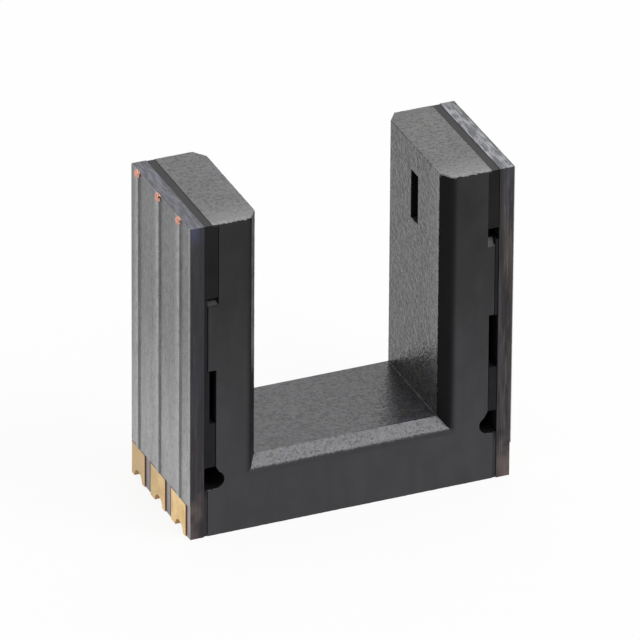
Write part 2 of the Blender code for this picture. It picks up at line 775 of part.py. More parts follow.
def make_side(prefix, arm, materials, parent):
    """Board, mask, terminals, chip, wires, resin and bond of one arm."""
    make_laminate(f"{prefix}_board", arm["side"], materials["laminate"], parent)
    make_mask(f"{prefix}_mask", arm, materials["mask"], parent)
    for place, centre in TERMINALS.items():
        upper = inner_points(place, centre, arm)
        make_terminal(f"{prefix}_terminal_{place}", arm, centre, upper, materials["gold"], parent)
    make_chip(f"{prefix}_chip", arm, materials[f"{prefix}_chip"], parent)
    for place in arm["wires"]:
        make_wire(f"{prefix}_wire_{place}", arm, place, materials["wire"], parent)
    reliefs = relief_guides(prefix, arm, parent)
    make_resin(f"{prefix}_resin", arm, reliefs, materials["resin"], parent)
    make_bond(f"{prefix}_bond", arm, reliefs, materials["bond"], parent)


def make_switch():
    for old in list(bpy.data.objects):
        bpy.data.objects.remove(old, do_unlink=True)
    origin = bpy.data.objects.new("switch_origin", None)
    bpy.context.scene.collection.objects.link(origin)
    materials = {
        "laminate": material("glass_epoxy_laminate", (0.33, 0.34, 0.38), 0.55),
        "mask": material("grey_solder_mask", (0.26, 0.26, 0.26), 0.45),
        "gold": material("gold_plated_copper", (0.83, 0.60, 0.30), 0.32, 1.0),
        "wire": material("gold_wire", (0.85, 0.62, 0.25), 0.25, 1.0),
        "resin": material("dark_optical_resin", (0.035, 0.035, 0.038), 0.30),
        "bond": material("black_adhesive", (0.025, 0.025, 0.028), 0.60),
        "emitter_chip": material("emitter_semiconductor", (0.30, 0.22, 0.12), 0.30),
        "detector_chip": material("detector_silicon", (0.12, 0.12, 0.17), 0.20),
    }
    make_housing(material("black_moulded_plastic", (0.045, 0.045, 0.048), 0.60), origin)
    for prefix, arm in ARMS.items():
        make_side(prefix, arm, materials, origin)


make_switch()
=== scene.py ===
# Looks of the slotted optical switch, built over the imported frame.
# Positions are in metres in the frame's own axes: X across the slot, front at -Y, Z up.
# "Out" is the distance from the middle plane of the slot, and "run" goes from front to back.

import math

import bmesh
import bpy
from mathutils import Matrix, Vector, noise


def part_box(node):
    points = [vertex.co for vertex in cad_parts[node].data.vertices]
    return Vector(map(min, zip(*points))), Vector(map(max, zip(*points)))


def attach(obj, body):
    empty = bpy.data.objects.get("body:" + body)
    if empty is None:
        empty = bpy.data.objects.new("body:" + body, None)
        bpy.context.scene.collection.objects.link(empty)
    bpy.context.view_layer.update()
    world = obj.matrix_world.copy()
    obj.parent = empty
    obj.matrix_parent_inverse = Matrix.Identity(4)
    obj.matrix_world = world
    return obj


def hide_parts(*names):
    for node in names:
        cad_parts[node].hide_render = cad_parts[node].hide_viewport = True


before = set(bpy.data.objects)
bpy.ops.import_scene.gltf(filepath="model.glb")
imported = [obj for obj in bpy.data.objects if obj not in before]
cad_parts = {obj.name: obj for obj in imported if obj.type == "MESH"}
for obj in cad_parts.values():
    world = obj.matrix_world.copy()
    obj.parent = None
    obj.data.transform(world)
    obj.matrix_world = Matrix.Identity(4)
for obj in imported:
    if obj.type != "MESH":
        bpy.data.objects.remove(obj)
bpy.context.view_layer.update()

MM = 0.001
SIDES = {"emitter": -1, "detector": 1}

# Lines of the frame that the pieces below keep to
HOUSING_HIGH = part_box("housing")[1]
TOP = HOUSING_HIGH.z
HALF_DEPTH = HOUSING_HIGH.y
BOARD_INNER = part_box("detector_board")[0].x
MASK_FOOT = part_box("emitter_mask")[0].z
SLOT_HALF = 2.50 * MM
SLOT_FLOOR = 1.93 * MM
CHAMFER_REACH = 0.42 * MM
ROUNDED_BORDER = 0.10 * MM
CHANNEL_START = 3.00 * MM
RECESS_START = 3.40 * MM
SLIT_REACH = 0.4 * MM
SLIT_LOWEST = SLOT_FLOOR + 1 * MM
HOLE_RANGE = (1 * MM, 7 * MM)
TERMINAL_MIDDLES = (-1.24 * MM, 0.11 * MM, 1.46 * MM)
TRACE_WIDTH = 0.18 * MM
PAD_WIDTH = 0.95 * MM
PAD_SHIFT = 0.05 * MM
FACE_GAP = 0.01 * MM
MASK_THICKNESS = 0.03 * MM

# Reading the frame's mesh
MERGE_DISTANCE = 1e-7
FLAT_ANGLE = math.radians(0.5)
CORNER_ANGLE = math.radians(20)
ON_LINE = 0.006 * MM

# Moulded edges
EDGE_ROUND = 0.045 * MM
HOLE_EDGE_ROUND = 0.035 * MM
CORNER_FILLET = 0.03 * MM
ROUND_SEGMENTS = 2
EDGE_STEP = 0.05 * MM
EDGE_WANDER = 0.005 * MM
TOP_WANDER = 0.034 * MM
EDGE_WANDER_SIZE = 0.09 * MM
DRIFT_OFFSETS = (Vector((9.3, -1.5, -8.0)), Vector((0, 0, 0)), Vector((6.3, 11.1, -3.6)))

# Shading of the moulding
WIDE_FACE = 0.05 * MM * MM
SQUARE_AHEAD = 0.999
SAME_BEND = 0.72
SHARP_ANGLE = 40

# The housing's finishes, and how a face must look up or ahead to take one of them
# The floor finish is a darker copy of the textured plastic: painted shade for the slot's floor.
TEXTURED, SHADED_FLOOR_FINISH, FACE_FINISH, RECESS_FINISH, LEDGE_FINISH = range(5)
NEARLY_AHEAD = 0.95
PARTLY_AHEAD = 0.2
CLEARLY_UP = 0.4
BARELY_UP = 0.05
LEVEL = 0.9

# Mask ridges
RIDGE_SLOPE = 0.035 * MM
RIDGE_START = 0.4
RIDGE_END_SLOPE = 0.15 * MM
RIDGE_WANDER = 0.012 * MM
RIDGE_WANDER_SIZE = 0.35 * MM
RIDGE_SPREAD = 7
RIDGE_STEP = 0.09 * MM
PROFILE_STEP = 0.022 * MM

# Smear of copper left where each trace is sawn through
BURR_SIZE = (0.050 * MM, 0.115 * MM, 0.095 * MM)
BURR_DROP = 0.06 * MM
BURR_LUMPS = 0.6
BURR_LUMP_RATE = 1.6
BURR_SPREAD = 3
BURR_SUBDIVISIONS = 3
BURR_SHARP_ANGLE = 60

# Tones of the black plastic
COOL_PLASTIC = (0.050, 0.046, 0.068)
WARM_PLASTIC = (0.056, 0.054, 0.036)
TINT_SHARE = 0.35
PITTED = (0.006, 0.006, 0.007)
DARK_BLOTCH = (0.004, 0.004, 0.005)
LIGHT_BLOTCH = (0.100, 0.100, 0.100)
PLASTIC_SPECK = (0.120, 0.120, 0.120)
# Pale grain along the front edges: partly handling wear, partly painted highlight.
SCUFF_AND_HIGHLIGHT = (0.200, 0.199, 0.203)
NICKED = (0.016, 0.015, 0.015)
# Painted glints: a pale colour on the slot's chamfer that stands in for the lamp's highlights.
CHAMFER_GLINT = (0.105, 0.105, 0.150)
# Painted shade for textured faces that turn toward the front.
FRONT_TURN_SHADE = (0.030, 0.030, 0.034)
# Ends of the smooth plastic's blend; the lighter end is reached mostly through painted floor light
# toward the foot.
POLISHED_DARK = Vector((0.008, 0.008, 0.010))
POLISHED_LIGHT = Vector((0.108, 0.106, 0.118))
# Painted shade for smooth faces turned away from the front.
TURNED_AWAY_SHADE = (0.009, 0.009, 0.010)

# Tones of the solder mask
MASK_TONES = ((0.040, 0.044, 0.042), (0.080, 0.080, 0.080))
# Painted floor light: the pale tone the mask takes toward its foot.
MASK_LIT_FOOT = (0.36, 0.36, 0.365)
MASK_STREAK = (0.04, 0.04, 0.045)
MASK_PIT = (0.02, 0.02, 0.02)
# Pale stripe behind each ridge, partly rubbed mask and partly painted highlight; then the painted shade
# line before each ridge.
MASK_RUB_AND_HIGHLIGHT = (0.42, 0.42, 0.42)
MASK_SHADE_LINE = (0.050, 0.052, 0.055)
MASK_SPECK = (0.30, 0.30, 0.30)

# Tones of the laminate
BARE_LAMINATE = (0.42, 0.36, 0.38)
# Painted shade ahead of each pad and a painted shadow line behind it, on the bare laminate.
BARE_SHADE = (0.12, 0.09, 0.06)
BARE_SHADOW_LINE = (0.05, 0.04, 0.04)
PAD_SHADOW_LINE = (PAD_WIDTH / 2 + 0.12 * MM, PAD_WIDTH / 2 + 0.17 * MM)
PAD_SHADE = (PAD_WIDTH / 2 + 0.02 * MM, PAD_WIDTH / 2 + 0.09 * MM)
BROWN_STAIN = (0.036, 0.023, 0.018)
BLUE_STAIN = (0.018, 0.016, 0.032)
# Paler pinkish tone toward the foot of the upright edges.
PALE_PINK_FOOT = (0.170, 0.122, 0.112)
CUT_GLASS_GAIN = 1.5
INNER_SHADE = (0.006, 0.006, 0.008)
LAYER_LINE = (0.02, 0.02, 0.025)
LAYER_HALF = 0.09 * MM
INNER_FACE = (0.012, 0.012, 0.014)

# Tones of the plating
GOLD_TONES = ((0.70, 0.46, 0.18), (0.90, 0.65, 0.30))
BACK_GOLD = (0.46, 0.31, 0.15)
GOLD_EDGE = (0.34, 0.20, 0.10)
# Painted shade for the plating inside the board, seen through the voids.
GOLD_SHADED_INSIDE = (0.030, 0.018, 0.010)
# Painted shadow of the mask's edge on the pads.
GOLD_IN_MASK_SHADOW = (0.20, 0.12, 0.06)
COPPER = (0.86, 0.47, 0.36)
COPPER_DARK = (0.62, 0.26, 0.18)
COPPER_BRIGHT = (0.98, 0.80, 0.72)

# Floor and light
FLOOR_REACH = 3.0
FLOOR_COLOUR = (0.92, 0.92, 0.92, 1.0)
FLOOR_WHITE_SHARE = 0.9
WHITE = (1.0, 1.0, 1.0, 1.0)
WORLD_STRENGTH = 0.6
WORLD_MIRRORED = 0.8

# Camera fitted to the photograph's straight edges
IMAGE_SIDE = 640
SENSOR_WIDTH = 36.0
CAMERA_AZIMUTH = -23.2349
CAMERA_ELEVATION = 28.7922
CAMERA_ROLL = 0.4038
CAMERA_DISTANCE = 307.2592 * MM
PIXELS_PER_MM = 39.7511
CAMERA_TARGET = Vector((0, 0, 4.4 * MM))
CENTRE_RIGHT = 2.0793
CENTRE_DOWN = 0.7947
CLIP_RANGE = (0.01, 10.0)


def smooth_step(value):
    """The value held between 0 and 1 and eased at both ends."""
    value = min(max(value, 0.0), 1.0)
    return value * value * (3 - 2 * value)


class Finish:
    """One procedural material. Each method adds nodes and returns the socket that they make."""

    def __init__(self, name, roughness, specular=0.5, metallic=0.0):
        self.material = bpy.data.materials.new(name)
        self.material.use_nodes = True
        self.tree = self.material.node_tree
        self.shader = self.tree.nodes["Principled BSDF"]
        self.shader.inputs["Roughness"].default_value = roughness
        self.shader.inputs["Specular IOR Level"].default_value = specular
        self.shader.inputs["Metallic"].default_value = metallic
        self.place = self.node("ShaderNodeTexCoord", {}).outputs["Object"]
        across, self.run, self.height = self.parts(self.place)
        self.out = self.math("ABSOLUTE", across)
        self.normal = self.parts(self.node("ShaderNodeNewGeometry", {}).outputs["Normal"])

    def node(self, kind, inputs, **settings):
        made = self.tree.nodes.new(kind)
        for key, value in settings.items():
            setattr(made, key, value)
        for key, value in inputs.items():
            if isinstance(value, bpy.types.NodeSocket):
                self.tree.links.new(value, made.inputs[key])
            else:
                made.inputs[key].default_value = value
        return made

    def parts(self, vector):
        """The X, Y and Z of a vector."""
        return self.node("ShaderNodeSeparateXYZ", {0: vector}).outputs[:]

    def math(self, operation, first, second=0.0):
        return self.node("ShaderNodeMath", {0: first, 1: second}, operation=operation).outputs[0]

    def times(self, first, second):
        return self.math("MULTIPLY", first, second)

    def larger(self, first, second):
        return self.math("MAXIMUM", first, second)

    def stretched(self, size):
        """Object coordinates counted in steps of the size, one length or one per axis."""
        sizes = (size,) * 3 if isinstance(size, float) else size
        scale = Vector([1 / length for length in sizes])
        return self.node("ShaderNodeMapping", {"Vector": self.place, "Scale": scale}).outputs[0]

    def clouds(self, size, detail=2.0, roughness=0.55, distortion=0.0):
        """Noise from 0 to 1 whose features are about the size."""
        inputs = {
            "Vector": self.stretched(size),
            "Scale": 1.0,
            "Detail": detail,
            "Roughness": roughness,
            "Distortion": distortion,
        }
        return self.node("ShaderNodeTexNoise", inputs).outputs["Fac"]

    def cell_edges(self, size):
        """Distance to the nearest border between cells of the size."""
        inputs = {"Vector": self.stretched(size), "Scale": 1.0}
        made = self.node("ShaderNodeTexVoronoi", inputs, feature="DISTANCE_TO_EDGE")
        return made.outputs["Distance"]

    def span(self, value, low, high, start=0.0, end=1.0):
        """The value's place between low and high, eased, as a number from start to end."""
        inputs = {"Value": value, "From Min": low, "From Max": high, "To Min": start, "To Max": end}
        made = self.node("ShaderNodeMapRange", inputs, interpolation_type="SMOOTHSTEP")
        return made.outputs["Result"]

    def spread(self, clouds, start=0.0, end=1.0):
        """The range that clouds mostly keep to, as a number from start to end."""
        return self.span(clouds, 0.3, 0.7, start, end)

    def facing(self, index):
        """How squarely the surface faces along an axis, either way."""
        return self.math("ABSOLUTE", self.normal[index])

    def mix(self, factor, first, second):
        """Colours blended by a factor; each is a socket or three numbers."""
        made = self.node("ShaderNodeMix", {0: factor}, data_type="RGBA")
        for slot, colour in ((6, first), (7, second)):
            if isinstance(colour, bpy.types.NodeSocket):
                self.tree.links.new(colour, made.inputs[slot])
            else:
                made.inputs[slot].default_value = (*colour, 1.0)
        return made.outputs[2]

    def bump(self, height, depth, under=None):
        """Relief of that depth; the bump under it is kept."""
        inputs = {"Height": height, "Distance": depth, "Strength": 1.0}
        if under is not None:
            inputs["Normal"] = under
        return self.node("ShaderNodeBump", inputs).outputs["Normal"]

    def colour(self, socket):
        self.tree.links.new(socket, self.shader.inputs["Base Color"])

    def roughness(self, socket):
        self.tree.links.new(socket, self.shader.inputs["Roughness"])

    def specular(self, socket):
        self.tree.links.new(socket, self.shader.inputs["Specular IOR Level"])

    def relief(self, socket):
        self.tree.links.new(socket, self.shader.inputs["Normal"])


def textured_plastic(name, specular, dark, light):
    """Black plastic with the spark-eroded grain of the mould's slot and top, painted darker as shade
    where a face turns to the front, with painted glints on the slot's chamfer.
    """
    finish = Finish(name, 0.27, specular=specular)
    fine = finish.clouds(0.045 * MM)
    grain = finish.clouds(0.095 * MM, roughness=0.6)
    blotches = finish.clouds(0.19 * MM)
    base = grained_colour(finish, (dark, light), fine, grain, blotches)
    base = worn_and_glinting_colour(finish, base, fine, grain, blotches)
    # Painted shade: faces turning toward the front are darkened by their normal, and made rougher and
    # less shiny there.
    uneven = finish.math("ADD", finish.facing(1), finish.spread(grain, -0.12, 0.12))
    front_turn_shade = finish.span(uneven, 0.62, 0.98)
    finish.colour(finish.mix(front_turn_shade, base, FRONT_TURN_SHADE))
    rough = finish.span(grain, 0.35, 0.65, 0.38, 0.22)
    finish.roughness(finish.span(front_turn_shade, 0.0, 1.0, rough, 0.5))
    finish.specular(finish.span(front_turn_shade, 0.0, 1.0, specular, 0.30))
    swells = finish.bump(finish.times(blotches, finish.facing(0)), 0.020 * MM)
    waves = finish.bump(grain, 0.007 * MM, swells)
    finish.relief(finish.bump(fine, 0.0022 * MM, waves))
    return finish.material


def grained_colour(finish, tones, fine, grain, blotches):
    """Uneven black with cool and warm tints, pits, blotches and pale specks."""
    patches = finish.clouds(0.45 * MM, detail=3.0)
    hues = finish.clouds(0.38 * MM, detail=1.0)
    base = finish.mix(finish.spread(patches), *tones)
    cool = finish.mix(TINT_SHARE, base, COOL_PLASTIC)
    base = finish.mix(finish.span(hues, 0.42, 0.60), base, cool)
    warm = finish.mix(TINT_SHARE, base, WARM_PLASTIC)
    base = finish.mix(finish.span(hues, 0.44, 0.36), base, warm)
    base = finish.mix(finish.span(grain, 0.33, 0.47), PITTED, base)
    base = finish.mix(finish.span(blotches, 0.38, 0.54, 0.35, 0.0), base, DARK_BLOTCH)
    base = finish.mix(finish.span(blotches, 0.50, 0.66, 0.0, 0.15), base, LIGHT_BLOTCH)
    return finish.mix(finish.span(fine, 0.60, 0.74), base, PLASTIC_SPECK)


def worn_and_glinting_colour(finish, base, fine, grain, blotches):
    """Scuffs and a painted highlight behind the front edges, nicks along the slot's top edge and
    painted glints on its chamfer.
    """
    base = finish.mix(front_scuff_and_highlight(finish, grain), base, SCUFF_AND_HIGHLIGHT)
    nicks = finish.times(slot_edge(finish), finish.span(blotches, 0.52, 0.40, 0.0, 0.5))
    base = finish.mix(nicks, base, NICKED)
    # Painted glints: pale specks on the sloped chamfer inside the slot, standing in for highlights.
    inside = finish.span(finish.out, 2.9 * MM, 2.8 * MM)
    sloped = finish.times(finish.span(finish.facing(1), 0.45, 0.60), inside)
    glints = finish.times(sloped, finish.span(fine, 0.46, 0.72))
    return finish.mix(glints, base, CHAMFER_GLINT)


def slot_edge(finish):
    """Closeness, from 0 to 1, to the pitted edge between the top and the slot's walls."""
    aside = finish.math("ABSOLUTE", finish.math("SUBTRACT", finish.out, SLOT_HALF + 0.02 * MM))
    close = finish.span(aside, 0.03 * MM, 0.10 * MM, 1.0, 0.0)
    high = finish.span(finish.height, TOP - 0.16 * MM, TOP - 0.06 * MM)
    return finish.times(close, high)


def front_scuff_and_highlight(finish, grain):
    """How much the grain is paled along the front edges: partly greyed by handling, partly a painted
    highlight on the front rim and the faces behind it.
    """
    # Partly handling wear and partly painted highlight, strongest at the front edge.
    broad = finish.span(finish.run, -HALF_DEPTH, 1.2 * MM - HALF_DEPTH, 0.55, 0.0)
    narrow = finish.span(finish.run, -HALF_DEPTH, 0.22 * MM - HALF_DEPTH, 0.60, 0.0)
    worn = finish.times(narrow, finish.span(grain, 0.3, 0.6))
    high = finish.span(finish.height, SLOT_FLOOR + 0.5 * MM, SLOT_FLOOR + 1.5 * MM)
    return finish.times(finish.math("ADD", broad, worn), high)


def smooth_plastic(name, specular, tone, turned):
    """The same plastic where the mould is polished, with painted floor light toward the foot, and less
    shiny and painted dark as shade where a face turns away from the front or lies close beside the slot
    above the foot.
    """
    finish = Finish(name, 0.36, specular=specular)
    fine = finish.clouds(0.05 * MM)
    patches = finish.clouds(0.7 * MM, detail=3.0)
    streaks = finish.clouds((0.5 * MM, 0.5 * MM, 2.6 * MM))
    # Painted floor light: the polished faces are painted lighter toward the foot, with random patches
    # on top.
    low = finish.span(finish.height, 0.5 * MM, 8.4 * MM, 0.66, 0.0)
    uneven = finish.span(finish.times(patches, streaks), 0.12, 0.42, 0.0, 0.22)
    floor_light_and_patches = finish.math("ADD", low, uneven)
    base = finish.mix(floor_light_and_patches, POLISHED_DARK * tone, POLISHED_LIGHT * tone)
    # Painted shade: faces turned away from the front, and faces close beside the slot above the foot,
    # take the dark colour.
    beside = finish.span(finish.out, SLOT_HALF + 0.18 * MM, SLOT_HALF + 0.42 * MM)
    under = finish.span(finish.height, 1.55 * MM, 1.80 * MM, 1.0, 0.0)
    clear = finish.larger(beside, under)
    ahead = finish.times(finish.span(finish.facing(1), 0.60, 0.97), clear)
    finish.colour(finish.mix(ahead, TURNED_AWAY_SHADE, base))
    finish.specular(finish.span(ahead, 0.0, 1.0, turned, specular))
    finish.roughness(finish.spread(patches, 0.30, 0.42))
    waves = finish.bump(patches, 0.012 * MM)
    finish.relief(finish.bump(fine, 0.002 * MM, waves))
    return finish.material


def flat_mesh(node):
    """The CAD node's own surface with its triangles merged into whole flat faces."""
    mesh_data = bmesh.new()
    mesh_data.from_mesh(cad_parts[node].data)
    bmesh.ops.remove_doubles(mesh_data, verts=mesh_data.verts, dist=MERGE_DISTANCE)
    bmesh.ops.dissolve_limit(
        mesh_data, angle_limit=FLAT_ANGLE, verts=mesh_data.verts, edges=mesh_data.edges
    )
    return mesh_data


def is_corner(edge):
    """True for an outward corner between two faces that meet at a clear angle."""
    return len(edge.link_faces) == 2 and edge.is_convex and edge.calc_face_angle() > CORNER_ANGLE


def cut_in_steps(edges, step):
    """Divide long edges, so that their rounding can wander."""
    for edge in edges:
        pieces = 1 + int(edge.calc_length() / step)
        start = edge.verts[0]
        for left in range(pieces, 1, -1):
            start = bmesh.utils.edge_split(edge, start, 1 / left)[1]


def drift(place):
    """A smooth shift for a place. noise.noise_vector would change from run to run."""
    return Vector([noise.noise(place + offset) for offset in DRIFT_OFFSETS])


def facing_order(face):
    """Sorts faces by the way they face, which is the same in every run."""
    return tuple(round(value, 3) for value in face.normal)


def wander(rounded, scale):
    """Shift the rounding's points unevenly, and keep the flat faces beside it flat."""
    points = {vertex for face in rounded for vertex in face.verts}
    for vertex in points:
        at_front = vertex.co.y < CHAMFER_REACH - HALF_DEPTH and vertex.co.z > TOP - 2 * EDGE_ROUND
        reach = TOP_WANDER if at_front else EDGE_WANDER
        shift = drift(vertex.co / EDGE_WANDER_SIZE) * reach * scale
        beside = [face for face in vertex.link_faces if face not in rounded]
        for face in sorted(beside, key=facing_order):
            shift -= face.normal * shift.dot(face.normal)
        vertex.co += shift


def ragged_round(mesh_data, chosen, width):
    """Round the chosen edges with an uneven moulded border."""
    cut_in_steps([edge for edge in mesh_data.edges if chosen(edge)], EDGE_STEP)
    edges = [edge for edge in mesh_data.edges if chosen(edge)]
    made = bmesh.ops.bevel(
        mesh_data, geom=edges, offset=width, segments=ROUND_SEGMENTS, profile=0.5, affect="EDGES",
        clamp_overlap=True,
    )
    mesh_data.normal_update()
    wander(set(made["faces"]), width / EDGE_ROUND)


def new_piece(name, mesh_data, materials, node, sharp=SHARP_ANGLE):
    """A piece of the scene, which stands for a CAD node where one is named."""
    mesh = bpy.data.meshes.new(name)
    mesh_data.to_mesh(mesh)
    mesh_data.free()
    for made_of in materials:
        mesh.materials.append(made_of)
    mesh.shade_smooth()
    mesh.set_sharp_from_angle(angle=math.radians(sharp))
    piece = bpy.data.objects.new(name, mesh)
    bpy.context.scene.collection.objects.link(piece)
    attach(piece, "root")
    if node:
        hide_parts(node)
    return piece


def is_flat(face):
    """True for the wide faces of the moulding, whose shading must stay level."""
    behind_front = face.calc_center_median().y + HALF_DEPTH
    in_border = behind_front < ROUNDED_BORDER and abs(face.normal.y) < SQUARE_AHEAD
    return face.calc_area() > WIDE_FACE and not in_border


def corner_normals(mesh_data):
    """One normal for each face corner: wide faces stay level and the roundings turn between them."""
    flat = {face for face in mesh_data.faces if is_flat(face)}
    normals = []
    for face in mesh_data.faces:
        for vertex in face.verts:
            if face in flat:
                normals.append(face.normal.copy())
                continue
            beside = [other for other in vertex.link_faces if other.normal.dot(face.normal) > SAME_BEND]
            level = [other for other in beside if other in flat] or beside
            normals.append(sum((other.normal for other in level), Vector()).normalized())
    return normals


def near(value, line):
    return abs(value - line) < ON_LINE


def middle_of(edge):
    return (edge.verts[0].co + edge.verts[1].co) / 2


def is_main_edge(edge):
    """Edges of the slot, the top and the foot, which the mould leaves softly rounded."""
    if not is_corner(edge):
        return False
    middle = middle_of(edge)
    inside_slot = abs(middle.x) < SLOT_HALF + ON_LINE and middle.z > SLOT_FLOOR + ON_LINE
    in_slit = abs(middle.y) < SLIT_REACH and middle.z > SLIT_LOWEST
    if inside_slot and not in_slit:
        return True
    on_face = near(abs(middle.y), HALF_DEPTH)
    on_top = near(middle.z, TOP) and (on_face or abs(middle.x) < SLOT_HALF + CHAMFER_REACH)
    on_foot = near(middle.z, 0) and on_face
    return on_top or on_foot


def is_hole_edge(edge):
    """Edges of the rebates and channels where they open at the front and the back."""
    middle = middle_of(edge)
    low, high = HOLE_RANGE
    return is_corner(edge) and near(abs(middle.y), HALF_DEPTH) and low < middle.z < high


def is_floor_corner(edge):
    """The inward corner between the slot's floor and each of its walls."""
    middle = middle_of(edge)
    on_wall = near(abs(middle.x), SLOT_HALF) and near(middle.z, SLOT_FLOOR)
    return on_wall and len(edge.link_faces) == 2 and not edge.is_convex


def hollow_finish(face):
    """Finish of a face in the rebates and channels."""
    if face.normal.z < CLEARLY_UP:
        return RECESS_FINISH
    middle = face.calc_center_median()
    if middle.z < TOP / 2:
        return SHADED_FLOOR_FINISH if abs(face.normal.y) > PARTLY_AHEAD else RECESS_FINISH
    return LEDGE_FINISH if middle.x > 0 else RECESS_FINISH


def plastic_finish(face):
    """Which of the housing's finishes a face takes."""
    middle = face.calc_center_median()
    normal = face.normal
    below_top = middle.z < TOP - CHAMFER_REACH
    in_channel = abs(middle.x) > CHANNEL_START and abs(normal.y) < NEARLY_AHEAD
    if below_top and (abs(middle.x) > RECESS_START or in_channel):
        return hollow_finish(face)
    if normal.z > BARELY_UP or abs(normal.y) < PARTLY_AHEAD:
        in_floor = abs(middle.x) < SLOT_HALF and normal.z > LEVEL and middle.z < TOP / 2
        return SHADED_FLOOR_FINISH if in_floor else TEXTURED
    return FACE_FINISH


def plastic_materials():
    """The housing's materials in the order of their finishes."""
    textured = textured_plastic(
        "plastic_textured", specular=0.58, dark=(0.035, 0.035, 0.036), light=(0.056, 0.056, 0.056)
    )
    # Painted shade: a darker copy of the textured plastic for the slot's floor and the low upturned
    # faces of the hollows.
    shaded_slot_floor = textured_plastic(
        "plastic_slot_floor", specular=0.42, dark=(0.024, 0.023, 0.028), light=(0.036, 0.035, 0.040)
    )
    face = smooth_plastic("plastic_face", specular=0.33, tone=0.40, turned=0.08)
    recess = smooth_plastic("plastic_recess", specular=0.22, tone=0.60, turned=0.14)
    ledge = smooth_plastic("plastic_ledge", specular=0.33, tone=0.40, turned=0.26)
    return textured, shaded_slot_floor, face, recess, ledge


def make_housing():
    mesh_data = flat_mesh("housing")
    ragged_round(mesh_data, is_floor_corner, CORNER_FILLET)
    ragged_round(mesh_data, is_hole_edge, HOLE_EDGE_ROUND)
    ragged_round(mesh_data, is_main_edge, EDGE_ROUND)
    mesh_data.normal_update()
    for face in mesh_data.faces:
        face.material_index = plastic_finish(face)
    normals = corner_normals(mesh_data)
    materials = plastic_materials()
    moulding = new_piece("housing_moulding", mesh_data, materials, "housing")
    moulding.data.normals_split_custom_set(normals)


def mask_material():
    """Dark solder mask, dull grey where it is seen along its surface, paled over the traces partly by
    rubbing and partly by a painted highlight, with a painted shade line before each trace and painted
    floor light toward the foot.
    """
    finish = Finish("mask_grey", 0.30, specular=1.0)
    fine = finish.clouds(0.05 * MM, detail=3.0)
    grain = finish.clouds((0.10 * MM, 0.09 * MM, 0.18 * MM), detail=3.0, roughness=0.6)
    weave = finish.clouds((1.0 * MM, 0.22 * MM, 1.1 * MM), detail=3.0)
    patches = finish.clouds(0.6 * MM, detail=3.0)
    # Painted floor light: the mask is painted paler toward its foot.
    foot = finish.span(finish.height, 0.9 * MM, 6.4 * MM, 1.0, 0.0)
    base = finish.mix(finish.spread(patches), *MASK_TONES)
    base = finish.mix(foot, base, MASK_LIT_FOOT)
    base = finish.mix(finish.span(weave, 0.35, 0.65), finish.mix(0.3, base, MASK_STREAK), base)
    base = finish.mix(finish.span(grain, 0.34, 0.48), finish.mix(0.32, base, MASK_PIT), base)
    # Painted highlight and shade at the ridges: a paler stripe behind each, partly rubbed mask, and a
    # painted dark line before each.
    rub_and_highlight, shade_line = ridge_rub_light_and_shade(finish)
    rub_and_highlight = finish.times(rub_and_highlight, finish.span(grain, 0.3, 0.6, 0.25, 0.6))
    base = finish.mix(rub_and_highlight, base, MASK_RUB_AND_HIGHLIGHT)
    shade_line = finish.times(shade_line, finish.span(foot, 0.1, 0.5, 0.0, 0.75))
    base = finish.mix(shade_line, base, MASK_SHADE_LINE)
    finish.colour(finish.mix(finish.span(fine, 0.60, 0.74), base, MASK_SPECK))
    finish.roughness(finish.spread(grain, 0.40, 0.24))
    waves = finish.bump(weave, 0.008 * MM)
    rough = finish.bump(grain, 0.006 * MM, waves)
    finish.relief(finish.bump(fine, 0.002 * MM, rough))
    return finish.material


def ridge_rub_light_and_shade(finish):
    """How far the mask is paled behind each ridge and along the front edge, partly rubbed and partly a
    painted highlight, and the painted shade line before each ridge.
    """
    rub_and_highlight = finish.span(finish.run, 0.03 * MM - HALF_DEPTH, 0.10 * MM - HALF_DEPTH, 0.6, 0.0)
    shade_line = 0.0
    for middle in TERMINAL_MIDDLES:
        before = finish.span(finish.run, middle - 0.09 * MM, middle - 0.04 * MM)
        behind = finish.span(finish.run, middle + 0.02 * MM, middle + 0.42 * MM, 1.0, 0.0)
        rub_and_highlight = finish.larger(rub_and_highlight, finish.times(before, behind))
        ahead = finish.span(finish.run, middle - 0.18 * MM, middle - 0.14 * MM)
        upon = finish.span(finish.run, middle - 0.08 * MM, middle - 0.04 * MM, 1.0, 0.0)
        shade_line = finish.larger(shade_line, finish.times(ahead, upon))
    return rub_and_highlight, shade_line


def ridge_height(run, height, trace_top):
    """How far the mask stands up over the traces at a point, from 0 to 1."""
    stand = 0.0
    for middle in TERMINAL_MIDDLES:
        place = Vector((middle / MM * RIDGE_SPREAD, 0, height / RIDGE_WANDER_SIZE))
        sway = noise.noise(place) * RIDGE_WANDER
        distance = abs(run - middle - sway) - TRACE_WIDTH / 2 - MASK_THICKNESS / 2
        stand = max(stand, 1 - smooth_step(distance / RIDGE_SLOPE + RIDGE_START))
    past_end = (height - trace_top - RIDGE_STEP) / RIDGE_END_SLOPE
    return stand * (1 - smooth_step(past_end))


def mask_section(flat, ridge, inner, groove, height, trace_top):
    """One level of the mask, grooved on its inner side as far up as the traces reach."""
    count = round(2 * HALF_DEPTH / PROFILE_STEP)
    section = []
    for index in range(count + 1):
        run = -HALF_DEPTH + 2 * HALF_DEPTH * index / count
        section.append((flat + (ridge - flat) * ridge_height(run, height, trace_top), run, height))
    if height > trace_top + RIDGE_STEP:
        groove = inner
    half = TRACE_WIDTH / 2 + FACE_GAP
    underside = [(inner, -HALF_DEPTH)]
    for middle in TERMINAL_MIDDLES:
        underside += [(inner, middle - half), (groove, middle - half)]
        underside += [(groove, middle + half), (inner, middle + half)]
    underside.append((inner, HALF_DEPTH))
    return section + [(out, run, height) for out, run in reversed(underside)]


